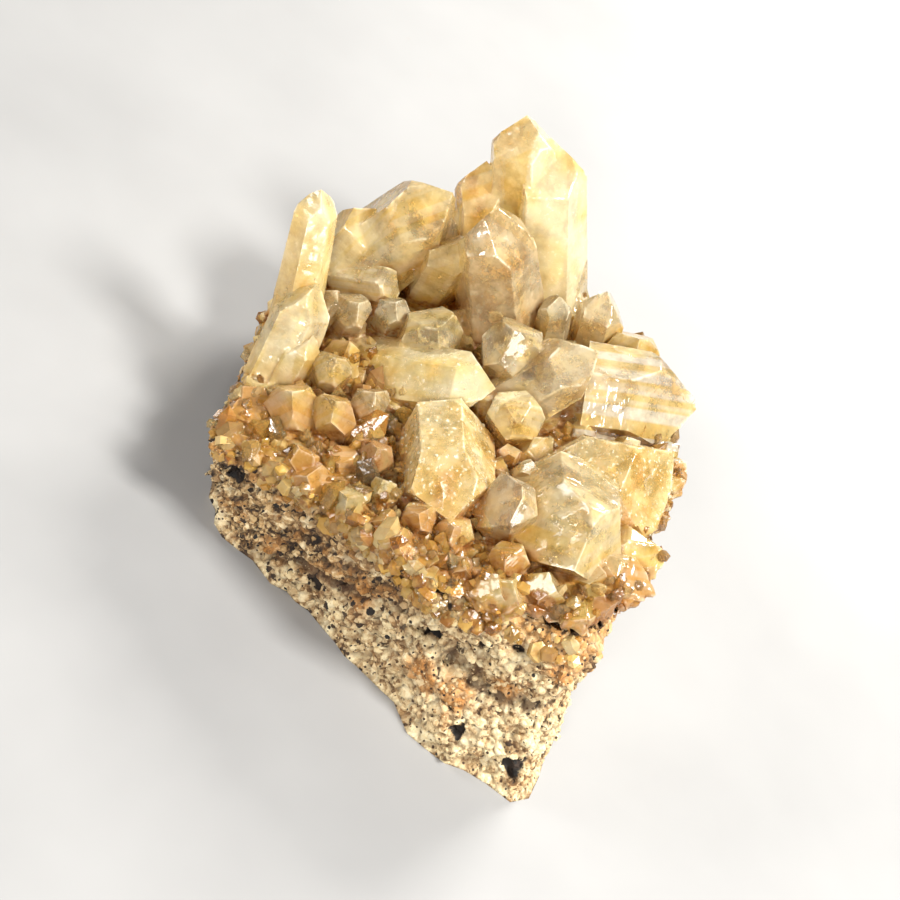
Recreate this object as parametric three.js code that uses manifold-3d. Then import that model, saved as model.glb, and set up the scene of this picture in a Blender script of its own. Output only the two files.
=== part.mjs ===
// A hand-sized cluster of golden quartz crystals on a loose piece of granular rock.
// Millimetres, +Z up. The rock rests on its flat broken underside at z = 0, and the long
// broken front side faces -Y. The quartz is one intergrown solid that sits on the rock's top.
import * as THREE from "three";
import { mergeVertices } from "three/addons/utils/BufferGeometryUtils.js";
import Module from "manifold-3d";

const wasm = await Module();
wasm.setup();

// ---- driving dimensions -------------------------------------------------------------------

const GROWTH_HEIGHT = 16; // height of the rock's top at x = 0
const GROWTH_SLOPE = 0.2; // the top falls towards the thin left end, mm per mm
const GROWTH_LUMP = 0.6; // height of the swells in the rock's top
const GROWTH_LUMP_SIZE = 9;
const GAP = 0.3; // between the rock and the quartz that sits on it
const CENTRE = [3, 0]; // inside every outline, where the rings of the rock close

// Plan outlines of the rock, anticlockwise seen from above: its underside and the rim of its top.
const BASE_OUTLINE = [
  [-21, -14.5], [-16.3, -20.5], [-2.5, -22.3], [11, -26], [14, -28.5], [21, -29.5],
  [29, -28], [30.5, -25.5], [28.5, -18], [25.5, -10], [26, 1], [23, 14], [16, 23],
  [6, 29], [-7, 31], [-18, 24], [-24, 10],
];
const RIM_OUTLINE = [
  [-23, -21], [-18, -20], [-8, -21], [-1, -23], [8, -26], [12, -24.5], [16, -22.5],
  [23, -22.5], [26, -18.5], [25.2, -10], [24.8, -2], [25, 6], [23, 15], [16, 24],
  [7, 31], [-3, 34], [-12, 33], [-21, 26], [-26, 18], [-27, 8], [-25.5, -4], [-23.5, -14],
];

const FRONT = -12; // the front of the rock, with its creases and bulges, lies past this y

// Creases that run across the front of the rock: [x, z] points, depth and half width.
const CREASES = [
  { line: [[-13, 0.5], [-7.5, 4], [0, 6], [6, 11], [9, 17], [12, 20]], depth: 1.2, half: 1.3 },
  { line: [[7.5, 11], [20.5, 9], [26, 11.5], [31, 13.5]], depth: 1.8, half: 1.4 },
];

// Rounded bulges on the front: [x, z] middle, half sizes along x and z, and height.
const BULGES = [
  { at: [14, 15.5], size: [8, 3.5], height: 1.2 },
  { at: [25, 16], size: [5, 2.6], height: 1.2 },
  { at: [22, 4], size: [7, 4], height: 1 },
];

const ROCK_SEGMENTS = 90;
const ROCK_SIDE_RINGS = 11;
const ROCK_TOP_RINGS = 3;
const LUMP_SIZE = 6; // of the lumps in the rock's sides
const LUMP_HEIGHT = 2;
const LEDGE_STEP = 5; // height between the ledges where the rock broke
const LEDGE_DEPTH = 1;
const LEDGE_TILT = 0.18; // the ledges fall to the left with the top
const LEDGE_WANDER = 2.2; // how far, in steps, a ledge wanders up and down
const LEDGE_WANDER_SIZE = 10;

// The crust that joins the crystals: its edge stands in from the rim above and out below.
const CRUST_SEGMENTS = 40;
const CRUST_RINGS = 4;
const CRUST_THICKNESS = 1.4;
const CRUST_LUMP = 1;
const CRUST_LUMP_SIZE = 5;
const CRUST_EDGE = { above: -0.6, below: 0.2 };
const CRUST_ROOT = 0.5; // depth of the crust below the rock's top, cut off by the rock

// The end faces of quartz are turned this far from square to the long axis.
const POINT_ANGLE = THREE.MathUtils.degToRad(51.8);
const TAPER = [1, 3.5]; // degrees that a side leans in
const SIDE_REACH = [0.88, 1.12]; // a side's distance from the axis, in half widths
const LARGE_END = [0, 0.12]; // lift of an end face over the tip, in half widths
const SMALL_END = [0.25, 0.65];
const BLUNT_FACE = [0.15, 0.1, 1]; // direction of the break that cuts a point off
const FOOT_DEPTH = 0.5; // how far a crystal goes on below its foot

// The crystals that give the cluster its look. foot and tip are the ends of the long axis and
// across is the width over two faces. flat is thickness over width, spin turns the faces round
// the axis, and blunt cuts the point off at that share of the length. ends lifts the six end
// faces over the tip, in half widths, starting at the face that spin turns: 0 is a full face
// and a lifted one is small.
const CRYSTALS = [
  // the left end
  { foot: [-21.5, -1.5, 10], tip: [-29, 4, 31], across: 5.5, flat: 0.8, spin: 10 },
  { foot: [-21, -7.5, 10], tip: [-23.5, -1, 23], across: 6.5, flat: 0.7, spin: 15 },
  { foot: [-20, -7, 11], tip: [-20.5, -4, 19], across: 4.5, spin: 25 },
  { foot: [-22, 4, 11], tip: [-21.5, 4.5, 19.5], across: 3.5, spin: 5 },
  // the back, from left to right
  { foot: [-23.5, 17, 10], tip: [-17, 19.5, 29.5], across: 10.5, spin: 15 },
  { foot: [-25, 14, 11], tip: [-23, 17, 23.5], across: 7, spin: 0 },
  { foot: [-22.5, 13, 14], tip: [-15.5, 10.5, 20.5], across: 4.2, spin: 0, blunt: 0.8 },
  { foot: [-16, 23, 14], tip: [-16.8, 20, 26], across: 5, spin: 10 },
  { foot: [-13, 20, 13], tip: [-13, 16, 27], across: 6.5, flat: 0.8, spin: 40 },
  { foot: [-1.5, 20, 14], tip: [-12, 17, 32.5], across: 9.5, spin: 0, ends: [0.3, 0, 0.3, 0.4, 0, 0.4] },
  { foot: [-2, 30, 12], tip: [-15.5, 33, 35.5], across: 8.4, spin: 10 },
  { foot: [1, 30, 12], tip: [-11.5, 33.5, 34.5], across: 9.5, spin: 35 },
  { foot: [-7, 28.5, 12], tip: [-16.5, 31, 28], across: 8.2, spin: 20 },
  { foot: [3.5, 21, 15], tip: [0.5, 19, 26.5], across: 4, spin: 0 },
  { foot: [8, 23, 16], tip: [5, 24, 27.5], across: 5.5, spin: 15 },
  { foot: [13, 24, 17], tip: [11.5, 20.5, 27], across: 6.5, spin: 15 },
  // the middle
  { foot: [2.5, 13.5, 15], tip: [-1.5, 6.5, 28], across: 7, spin: 0 },
  { foot: [1.5, 6, 16], tip: [8, 9.5, 30.5], across: 7.5, flat: 0.8, spin: 10 },
  { foot: [5, 5, 16], tip: [4, -2, 26], across: 6, spin: 15, blunt: 0.9 },
  { foot: [10, 14.5, 20], tip: [21.7, 18.5, 24.5], across: 11.5, spin: 20 },
  { foot: [-14, 4, 12], tip: [0.5, 0.5, 24.5], across: 8, flat: 0.7, spin: 30 },
  { foot: [-10, 11, 13], tip: [-9, 5, 23], across: 7.5, spin: 10 },
  { foot: [-19, 8, 12], tip: [-18.5, 4, 20], across: 4.5, spin: 0 },
  { foot: [-14, 10, 13], tip: [-15, 7, 21], across: 4, spin: 30 },
  // the front, from right to left
  { foot: [14.5, -5, 18], tip: [21.5, 4.5, 28.5], across: 12.5, flat: 0.8, spin: 30 },
  { foot: [15, -5, 20.5], tip: [19, -18, 25], across: 13, flat: 0.9, spin: 30 },
  { foot: [21, -8, 18], tip: [27.5, -5.5, 24], across: 8, spin: 20 },
  { foot: [20, -12, 19], tip: [28.5, -11, 22.5], across: 7, spin: 0 },
  { foot: [19, -14, 18], tip: [25.5, -18, 22], across: 5.5, spin: 20 },
  { foot: [11, -10.5, 15], tip: [8.5, -15, 26.5], across: 6.5, spin: 0, ends: [0.6, 0.6, 0.6, 0.6, -0.4, 0.6] },
  { foot: [-0.5, -4, 17], tip: [5, -18, 20.5], across: 10.5, spin: 0 },
  { foot: [14, -15, 17], tip: [12, -20, 23], across: 4.5, spin: 10 },
  { foot: [18, -17, 18], tip: [18.5, -22, 22], across: 4.5, spin: 40 },
  { foot: [7, -15, 15], tip: [5.5, -19.5, 21.5], across: 4.5, spin: 0 },
  { foot: [3, -15, 14], tip: [1.5, -20, 20.5], across: 4, spin: 25 },
  { foot: [-5, -11, 13], tip: [-6.5, -14.5, 20], across: 4, spin: 0 },
  { foot: [-8, -12, 12], tip: [-9, -17, 17], across: 4.5, spin: 10 },
  { foot: [-12, -9, 12], tip: [-13.5, -12, 20], across: 5, spin: 15 },
  { foot: [-16, -10, 11], tip: [-18, -13.5, 18.5], across: 6, spin: 30 },
  { foot: [-16, -3, 11], tip: [-16.5, -5.5, 19.5], across: 4.5, spin: 0 },
  { foot: [-10, -5, 12], tip: [-10.5, -7, 20], across: 4.5, spin: 20 },
  // the hidden back, low and leaning out
  { foot: [-17, 24, 11], tip: [-19, 31, 18.5], across: 6, spin: 0 },
  { foot: [-9, 29, 12], tip: [-11, 38, 23], across: 7, spin: 10 },
  { foot: [2, 28, 14], tip: [1, 34, 20], across: 6, spin: 20 },
  { foot: [11, 25, 16], tip: [12.5, 29, 20.5], across: 5.5, spin: 0 },
  { foot: [18, 14, 17], tip: [20.5, 18, 21.5], across: 5, spin: 10 },
  { foot: [23, 5, 18], tip: [25.5, 4, 21.5], across: 5, spin: 0 },
];

// Small crystals fill the ground between: a jittered grid of them, leaning outwards, and a
// row along the rim.
const SMALL_SPACING = 4.4;
const SMALL_LENGTH = [4.5, 8.5];
const SMALL_ACROSS = [2.6, 4.8];
const SMALL_LEAN = 0.2; // sideways travel per height of a small crystal in the middle
const SMALL_RIM_LEAN = 0.9; // and how much more at the rim
const SMALL_SCATTER = [-0.25, 0.25];
const SMALL_RIM_LOSS = 0.4; // share of its length that one at the rim is shorter by
const SMALL_FOOT = 1; // depth of its foot in the crust
const RIM_CRYSTALS = 46;
const RIM_ROW = [0.87, 0.92]; // where the row stands, as a share of the way to the rim
const BIG_SHARE = 0.42; // share of a big crystal's width, round its axis, kept free of small ones
const THREE_FACED = [0, 1.2, 0.1, 1.2, 0.2, 1.2]; // ends of a point with three faces

// ---- helpers ------------------------------------------------------------------------------

// A repeatable random number source, so that every run grows the same cluster.
function randomFrom(seed) {
  let state = seed >>> 0;
  return () => {
    state = (state + 0x6d2b79f5) >>> 0;
    let t = state;
    t = Math.imul(t ^ (t >>> 15), t | 1);
    t ^= t + Math.imul(t ^ (t >>> 7), t | 61);
    return ((t ^ (t >>> 14)) >>> 0) / 4294967296;
  };
}

function between([low, high], random) {
  return low + (high - low) * random();
}

function latticeValue(x, y, z) {
  const s = Math.sin(x * 127.1 + y * 311.7 + z * 74.7) * 43758.5453;
  return 2 * (s - Math.floor(s)) - 1;
}

// Smooth noise from -1 to 1 over points in space.
function noise(x, y, z) {
  const [i, j, k] = [x, y, z].map(Math.floor);
  const [u, v, w] = [x - i, y - j, z - k].map((t) => t * t * (3 - 2 * t));
  const { lerp } = THREE.MathUtils;
  const edge = (b, c) => lerp(latticeValue(i, j + b, k + c), latticeValue(i + 1, j + b, k + c), u);
  return lerp(lerp(edge(0, 0), edge(1, 0), v), lerp(edge(0, 1), edge(1, 1), v), w);
}

function lumps(x, y, z, size) {
  const coarse = noise(x / size, y / size, z / size);
  const fine = noise((2.3 * x) / size + 9, (2.3 * y) / size, (2.3 * z) / size);
  return 0.65 * coarse + 0.35 * fine;
}

function solidFrom(geometry) {
  const bare = new THREE.BufferGeometry();
  bare.setAttribute("position", geometry.getAttribute("position"));
  if (geometry.index) bare.setIndex(geometry.index);
  const merged = mergeVertices(bare, 1e-4);
  return new wasm.Manifold(
    new wasm.Mesh({
      numProp: 3,
      vertProperties: new Float32Array(merged.attributes.position.array),
      triVerts: new Uint32Array(merged.index.array),
    }),
  );
}

function geometryFrom(solid) {
  const mesh = solid.getMesh();
  const geometry = new THREE.BufferGeometry();
  geometry.setAttribute("position", new THREE.BufferAttribute(mesh.vertProperties, 3));
  geometry.setIndex(new THREE.BufferAttribute(mesh.triVerts, 1));
  geometry.computeVertexNormals();
  return geometry;
}

// How far an outline lies from CENTRE in a direction.
function reach(outline, angle) {
  const [dx, dy] = [Math.cos(angle), Math.sin(angle)];
  let far = 0;
  outline.forEach(([ax, ay], i) => {
    const [bx, by] = outline[(i + 1) % outline.length];
    const [px, py, ex, ey] = [ax - CENTRE[0], ay - CENTRE[1], bx - ax, by - ay];
    const cross = dx * ey - dy * ex;
    if (Math.abs(cross) < 1e-9) return;
    const along = (px * ey - py * ex) / cross;
    const share = (px * dy - py * dx) / cross;
    if (share >= -1e-9 && share <= 1 + 1e-9) far = Math.max(far, along);
  });
  return far;
}

// The value of a line of [x, value] points, level beyond its ends.
function valueOn(line, x) {
  if (x <= line[0][0]) return line[0][1];
  for (let i = 1; i < line.length; i++) {
    const [[ax, az], [bx, bz]] = [line[i - 1], line[i]];
    if (x <= bx) return az + ((bz - az) * (x - ax)) / (bx - ax);
  }
  return line[line.length - 1][1];
}

function growthHeight(x, y) {
  const swell = noise(x / GROWTH_LUMP_SIZE, y / GROWTH_LUMP_SIZE, 4);
  return GROWTH_HEIGHT + GROWTH_SLOPE * x + GROWTH_LUMP * swell;
}

// A closed skin over rings of points: point(segment, ring), closed at each end on one point.
function skin(segments, rings, point, first, last) {
  const positions = [...first];
  for (let r = 0; r < rings; r++)
    for (let s = 0; s < segments; s++) positions.push(...point(s, r));
  positions.push(...last);
  const at = (s, r) => 1 + r * segments + (s % segments);
  const end = 1 + rings * segments;
  const index = [];
  for (let s = 0; s < segments; s++) {
    index.push(0, at(s + 1, 0), at(s, 0));
    for (let r = 0; r + 1 < rings; r++) {
      index.push(at(s, r), at(s + 1, r), at(s + 1, r + 1));
      index.push(at(s, r), at(s + 1, r + 1), at(s, r + 1));
    }
    index.push(end, at(s, rings - 1), at(s + 1, rings - 1));
  }
  const geometry = new THREE.BufferGeometry();
  geometry.setAttribute("position", new THREE.Float32BufferAttribute(positions, 3));
  geometry.setIndex(index);
  return geometry;
}

// ---- the rock -----------------------------------------------------------------------------

// How far the creases and bulges of the front move it out.
function frontRelief(x, z) {
  let out = 0;
  for (const { line, depth, half } of CREASES)
    if (x > line[0][0] && x < line[line.length - 1][0])
      out -= depth * Math.exp(-(((z - valueOn(line, x)) / half) ** 2));
  for (const { at, size, height } of BULGES)
    out += height * Math.exp(-(((x - at[0]) / size[0]) ** 2) - ((z - at[1]) / size[1]) ** 2);
  return out;
}

// Its sides rise from the flat base to the rim, broken into lumps and ledges and creased across
// the front, and its top closes over in shrinking rings. grow makes it larger all round.
function rockSolid(grow) {
  const point = (s, r) => {
    const angle = (2 * Math.PI * s) / ROCK_SEGMENTS;
    const [dx, dy] = [Math.cos(angle), Math.sin(angle)];
    if (r >= ROCK_SIDE_RINGS) {
      const share = 1 - (r - ROCK_SIDE_RINGS + 1) / (ROCK_TOP_RINGS + 1);
      const radius = (reach(RIM_OUTLINE, angle) + grow) * share;
      const [x, y] = [CENTRE[0] + dx * radius, CENTRE[1] + dy * radius];
      return [x, y, growthHeight(x, y) + grow];
    }
    const t = r / (ROCK_SIDE_RINGS - 1);
    let radius = THREE.MathUtils.lerp(reach(BASE_OUTLINE, angle), reach(RIM_OUTLINE, angle), t);
    let [x, y] = [CENTRE[0] + dx * radius, CENTRE[1] + dy * radius];
    const z = t * growthHeight(x, y);
    const rough = Math.sin(Math.PI * Math.min(1, t + 0.25));
    const wander = LEDGE_WANDER * noise(x / LEDGE_WANDER_SIZE, y / LEDGE_WANDER_SIZE, 7);
    const level = (z - LEDGE_TILT * x) / LEDGE_STEP + wander;
    const ledge = 0.5 - (level - Math.floor(level));
    radius += rough * (LUMP_HEIGHT * lumps(x, y, z, LUMP_SIZE) + LEDGE_DEPTH * ledge);
    if (y < FRONT) radius += frontRelief(x, z);
    radius += grow;
    [x, y] = [CENTRE[0] + dx * radius, CENTRE[1] + dy * radius];
    return [x, y, t === 0 ? 0 : z + grow * t];
  };
  const top = growthHeight(...CENTRE) + grow;
  const rings = ROCK_SIDE_RINGS + ROCK_TOP_RINGS;
  return solidFrom(skin(ROCK_SEGMENTS, rings, point, [...CENTRE, 0], [...CENTRE, top]));
}

// ---- the quartz ---------------------------------------------------------------------------

// One crystal along +Z from its foot to length: six sides that taper a little, and a point of
// six faces. ends sets their sizes, and without it every other one is large.
function crystalSolid(length, across, { ends, blunt }, random) {
  const half = across / 2;
  let solid = solidFrom(new THREE.BoxGeometry(4 * across, 4 * across, 2 * length + 4 * across));
  const keepBelow = (x, y, z, distance) => {
    solid = solid.trimByPlane([-x, -y, -z], -distance);
  };
  const taper = THREE.MathUtils.degToRad(between(TAPER, random));
  for (let i = 0; i < 6; i++) {
    const [c, s] = [Math.cos((i * Math.PI) / 3), Math.sin((i * Math.PI) / 3)];
    const side = half * between(SIDE_REACH, random);
    const lift = half * (ends?.[i] ?? between(i % 2 ? SMALL_END : LARGE_END, random));
    keepBelow(c * Math.cos(taper), s * Math.cos(taper), Math.sin(taper),
      side + (Math.sin(taper) * length) / 2);
    keepBelow(c * Math.sin(POINT_ANGLE), s * Math.sin(POINT_ANGLE), Math.cos(POINT_ANGLE),
      Math.cos(POINT_ANGLE) * (length + lift));
  }
  if (blunt) keepBelow(...BLUNT_FACE, length * blunt);
  return solid.trimByPlane([0, 0, 1], -FOOT_DEPTH);
}

// The turn and place that carry +Z onto the line from foot to tip.
function placeOf(foot, tip, spin, flat) {
  const axis = new THREE.Vector3().subVectors(tip, foot).normalize();
  const level = new THREE.Vector3(-axis.y, axis.x, 0);
  if (level.lengthSq() < 1e-6) level.set(1, 0, 0);
  level.normalize().applyAxisAngle(axis, THREE.MathUtils.degToRad(spin));
  const third = new THREE.Vector3().crossVectors(axis, level);
  const place = new THREE.Matrix4().makeBasis(level, third.multiplyScalar(flat), axis);
  return place.setPosition(foot);
}

function grownCrystal(spec, random) {
  const [foot, tip] = [spec.foot, spec.tip].map((p) => new THREE.Vector3(...p));
  const place = placeOf(foot, tip, spec.spin, spec.flat ?? 1);
  return crystalSolid(foot.distanceTo(tip), spec.across, spec, random).transform(place.elements);
}

// Whether a place on the ground lies inside a big crystal.
function isWithin({ foot, tip, across }, x, y) {
  const [fx, fy, fz] = foot;
  const up = (growthHeight(x, y) + 1 - fz) / (tip[2] - fz);
  return Math.hypot(fx + up * (tip[0] - fx) - x, fy + up * (tip[1] - fy) - y) < BIG_SHARE * across;
}

// A small crystal on the ground at (x, y). It leans away from the middle of the cluster, and
// more so near the rim.
function smallCrystal(x, y, random) {
  const [dx, dy] = [x - CENTRE[0], y - CENTRE[1]];
  const away = Math.hypot(dx, dy);
  const out = away / reach(RIM_OUTLINE, Math.atan2(dy, dx));
  const lean = SMALL_LEAN + SMALL_RIM_LEAN * out ** 4;
  const foot = new THREE.Vector3(x, y, growthHeight(x, y) - SMALL_FOOT);
  const axis = new THREE.Vector3(
    (lean * dx) / away + between(SMALL_SCATTER, random),
    (lean * dy) / away + between(SMALL_SCATTER, random),
    1,
  ).normalize();
  const length = between(SMALL_LENGTH, random) * (1 - SMALL_RIM_LOSS * out);
  const tip = axis.multiplyScalar(length).add(foot);
  const across = between(SMALL_ACROSS, random);
  const spec = { foot, tip, across, spin: between([0, 60], random), ends: THREE_FACED };
  return grownCrystal(spec, random);
}

// Small crystals on a jittered grid over the top, and in a row along its rim.
function smallCrystals(random) {
  const places = [];
  for (let gx = -30; gx <= 30; gx += SMALL_SPACING)
    for (let gy = -30; gy <= 34; gy += SMALL_SPACING)
      places.push([gx + SMALL_SPACING * (random() - 0.5), gy + SMALL_SPACING * (random() - 0.5)]);
  const inside = places.filter(([x, y]) => {
    const [dx, dy] = [x - CENTRE[0], y - CENTRE[1]];
    return Math.hypot(dx, dy) < RIM_ROW[0] * reach(RIM_OUTLINE, Math.atan2(dy, dx));
  });
  const rim = Array.from({ length: RIM_CRYSTALS }, (_, i) => {
    const angle = (2 * Math.PI * (i + 0.6 * random())) / RIM_CRYSTALS;
    const radius = between(RIM_ROW, random) * reach(RIM_OUTLINE, angle);
    return [CENTRE[0] + Math.cos(angle) * radius, CENTRE[1] + Math.sin(angle) * radius];
  });
  return [...inside, ...rim]
    .filter(([x, y]) => !CRYSTALS.some((big) => isWithin(big, x, y)))
    .map(([x, y]) => smallCrystal(x, y, random));
}

// The thin lumpy layer of quartz that all the crystals grow from.
function crustSolid() {
  const rings = 2 * CRUST_RINGS;
  const point = (s, r) => {
    const angle = (2 * Math.PI * s) / CRUST_SEGMENTS;
    const upper = r >= CRUST_RINGS;
    const step = upper ? rings - 1 - r : r;
    const share = (step + 1) / CRUST_RINGS;
    const edge = reach(RIM_OUTLINE, angle) + (upper ? CRUST_EDGE.above : CRUST_EDGE.below);
    const radius = edge * share;
    const x = CENTRE[0] + Math.cos(angle) * radius;
    const y = CENTRE[1] + Math.sin(angle) * radius;
    const lift = CRUST_THICKNESS + CRUST_LUMP * lumps(x, y, 0, CRUST_LUMP_SIZE);
    return [x, y, growthHeight(x, y) + (upper ? lift : -CRUST_ROOT)];
  };
  const ground = growthHeight(...CENTRE);
  const [low, high] = [ground - CRUST_ROOT, ground + CRUST_THICKNESS];
  return solidFrom(skin(CRUST_SEGMENTS, rings, point, [...CENTRE, low], [...CENTRE, high]));
}

function largestBody(solid) {
  return solid.decompose().reduce((a, b) => (a.volume() >= b.volume() ? a : b));
}

// ---- the object ---------------------------------------------------------------------------

const SEED = 11;
const random = randomFrom(SEED);
const rock = rockSolid(0);
const grown = CRYSTALS.map((spec) => grownCrystal(spec, random));
const quartz = largestBody(
  wasm.Manifold.union([crustSolid(), ...grown, ...smallCrystals(random)]).subtract(rockSolid(GAP)),
);

function piece(name, solid, material) {
  const mesh = new THREE.Mesh(geometryFrom(solid), material);
  mesh.name = name;
  return mesh;
}

const cluster = new THREE.Group();
cluster.add(
  piece("rock_matrix", rock, new THREE.MeshStandardMaterial({
    color: 0xa8926e,
    roughness: 0.95,
    metalness: 0,
  })),
  piece("quartz_crystals", quartz, new THREE.MeshStandardMaterial({
    color: 0xe3b866,
    roughness: 0.12,
    metalness: 0,
  })),
);

// The origin is under the middle of the cluster, on the ground.
const middle = new THREE.Box3().setFromObject(cluster).getCenter(new THREE.Vector3());
cluster.position.set(-middle.x, -middle.y, 0);

export default cluster;
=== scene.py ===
"""Looks of the golden quartz cluster: crystals, tiny druse, granular rock, floor, light, camera."""

import math

import bmesh
import bpy
import numpy as np
from mathutils import Matrix, Vector, noise
from mathutils.bvhtree import BVHTree


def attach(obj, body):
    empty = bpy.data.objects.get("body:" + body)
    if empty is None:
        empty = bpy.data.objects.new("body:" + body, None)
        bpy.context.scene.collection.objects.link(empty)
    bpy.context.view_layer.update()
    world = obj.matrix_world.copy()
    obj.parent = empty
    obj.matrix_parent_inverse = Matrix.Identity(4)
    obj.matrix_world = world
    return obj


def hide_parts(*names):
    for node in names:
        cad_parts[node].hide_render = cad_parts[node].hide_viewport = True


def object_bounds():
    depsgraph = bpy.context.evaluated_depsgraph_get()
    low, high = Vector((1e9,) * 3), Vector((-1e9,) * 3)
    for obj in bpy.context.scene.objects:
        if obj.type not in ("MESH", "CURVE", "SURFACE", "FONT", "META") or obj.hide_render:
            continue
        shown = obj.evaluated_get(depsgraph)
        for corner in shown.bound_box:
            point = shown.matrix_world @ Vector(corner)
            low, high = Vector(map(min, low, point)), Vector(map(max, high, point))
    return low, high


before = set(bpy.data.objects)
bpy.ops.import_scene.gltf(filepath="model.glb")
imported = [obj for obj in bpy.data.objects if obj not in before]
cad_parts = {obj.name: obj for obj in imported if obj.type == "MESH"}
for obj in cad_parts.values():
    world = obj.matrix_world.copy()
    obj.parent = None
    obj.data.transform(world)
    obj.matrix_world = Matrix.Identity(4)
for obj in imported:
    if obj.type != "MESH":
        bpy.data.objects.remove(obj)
cad_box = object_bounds()

# Sizes are in mm and angles in radians where no line says otherwise. The mesh is in metres.
MM = 0.001

# The frame's origin, measured in the plan that the crystals below are laid out in.
ORIGIN = np.array([0.066, 4.031, 0.0])
# The crystals grow on the rock's top: its height at x = 0 of that plan, and its rise along x.
GROWTH_HEIGHT, GROWTH_SLOPE = 16.0, 0.2
# The rock's front lies at a smaller y than the first of these, its creases at a smaller y than
# the second, and its pits and stains at a smaller y than the third.
FRONT_Y, CREASES_Y, SPOTS_Y = -8, -10, -12

BAND_WAY = np.array([-0.57, 0.55, 0.61])  # the way growth bands are stacked across a crystal

# What a crystal's quartz is like: how golden, cloudy, frosted, smoky and rust-stained it is,
# and how strongly it is banded along its length.
LOOK_VALUES = ("amber", "cloud", "frost", "smoke", "rust", "bands")
LOOKS = {
    "pale": (0.3, 0.7, 0.15, 0.0, 0.1, 0.2),
    "milky": (0.15, 0.9, 0.3, 0.0, 0.15, 0.2),
    "cream": (0.25, 1.0, 0.5, 0.0, 0.05, 0.2),
    "banded": (0.25, 0.6, 0.1, 0.0, 0.1, 1.0),
    "golden": (0.4, 0.55, 0.1, 0.0, 0.2, 0.3),
    "yellow": (0.6, 0.7, 0.1, 0.0, 0.15, 0.3),
    "amber": (0.9, 0.55, 0.1, 0.0, 0.8, 0.2),
    "rusty": (0.9, 0.5, 0.2, 0.4, 2.3, 0.0),
    "clear": (0.02, 0.45, 0.02, 0.05, 0.0, 0.3),
    "smoky": (0.4, 0.5, 0.15, 0.4, 0.15, 0.2),
    "frosted": (0.5, 0.75, 0.8, 0.15, 0.15, 0.0),
}

# The large crystals: foot and tip of the long axis, width, and look.
CRYSTALS = [
    ((-21.5, -1.5, 10), (-29, 4, 31), 5.5, "pale"),
    ((-21, -7.5, 10), (-23.5, -1, 23), 6.5, "pale"),
    ((-20, -7, 11), (-20.5, -4, 19), 4.5, "golden"),
    ((-22, 4, 11), (-21.5, 4.5, 19.5), 3.5, "smoky"),
    ((-23.5, 17, 10), (-17, 19.5, 29.5), 10.5, "golden"),
    ((-25, 14, 11), (-23, 17, 23.5), 7, "pale"),
    ((-22.5, 13, 14), (-15.5, 10.5, 20.5), 4.2, "golden"),
    ((-16, 23, 14), (-16.8, 20, 26), 5, "smoky"),
    ((-13, 20, 13), (-13, 16, 27), 6.5, "pale"),
    ((-1.5, 20, 14), (-12, 17, 32.5), 9.5, "smoky"),
    ((-2, 30, 12), (-15.5, 33, 35.5), 8.4, "yellow"),
    ((1, 30, 12), (-11.5, 33.5, 34.5), 9.5, "milky"),
    ((-7, 28.5, 12), (-16.5, 31, 28), 8.2, "yellow"),
    ((3.5, 21, 15), (0.5, 19, 26.5), 4, "clear"),
    ((8, 23, 16), (5, 24, 27.5), 5.5, "clear"),
    ((13, 24, 17), (11.5, 20.5, 27), 6.5, "pale"),
    ((2.5, 13.5, 15), (-1.5, 6.5, 28), 7, "clear"),
    ((1.5, 6, 16), (8, 9.5, 30.5), 7.5, "clear"),
    ((5, 5, 16), (4, -2, 26), 6, "golden"),
    ((10, 14.5, 20), (21.7, 18.5, 24.5), 11.5, "banded"),
    ((-14, 4, 12), (0.5, 0.5, 24.5), 8, "cream"),
    ((-10, 11, 13), (-9, 5, 23), 7.5, "golden"),
    ((-19, 8, 12), (-18.5, 4, 20), 4.5, "smoky"),
    ((-14, 10, 13), (-15, 7, 21), 4, "clear"),
    ((14.5, -5, 18), (21.5, 4.5, 28.5), 12.5, "frosted"),
    ((15, -5, 20.5), (19, -18, 25), 13, "golden"),
    ((21, -8, 18), (27.5, -5.5, 24), 8, "pale"),
    ((20, -12, 19), (28.5, -11, 22.5), 7, "amber"),
    ((19, -14, 18), (25.5, -18, 22), 5.5, "rusty"),
    ((11, -10.5, 15), (8.5, -15, 26.5), 6.5, "smoky"),
    ((-0.5, -4, 17), (5, -18, 20.5), 10.5, "frosted"),
    ((14, -15, 17), (12, -20, 23), 4.5, "amber"),
    ((18, -17, 18), (18.5, -22, 22), 4.5, "rusty"),
    ((7, -15, 15), (5.5, -19.5, 21.5), 4.5, "amber"),
    ((3, -15, 14), (1.5, -20, 20.5), 4, "amber"),
    ((-5, -11, 13), (-6.5, -14.5, 20), 4, "rusty"),
    ((-8, -12, 12), (-9, -17, 17), 4.5, "amber"),
    ((-12, -9, 12), (-13.5, -12, 20), 5, "amber"),
    ((-16, -10, 11), (-18, -13.5, 18.5), 6, "amber"),
    ((-16, -3, 11), (-16.5, -5.5, 19.5), 4.5, "golden"),
    ((-10, -5, 12), (-10.5, -7, 20), 4.5, "smoky"),
    ((-17, 24, 11), (-19, 31, 18.5), 6, "golden"),
    ((-9, 29, 12), (-11, 38, 23), 7, "milky"),
    ((2, 28, 14), (1, 34, 20), 6, "clear"),
    ((11, 25, 16), (12.5, 29, 20.5), 5.5, "pale"),
    ((18, 14, 17), (20.5, 18, 21.5), 5, "golden"),
    ((23, 5, 18), (25.5, 4, 21.5), 5, "golden"),
]

# Creases across the rock's front: x and z along each one, and its half width. The rock is
# dark and dirty above the first one.
CREASES = [
    (((-13, 0.5), (-7.5, 4), (0, 6), (6, 11), (9, 17), (12, 20)), 0.5),
    (((7.5, 11), (20.5, 9), (26, 11.5), (31, 13.5)), 0.7),
]

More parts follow.
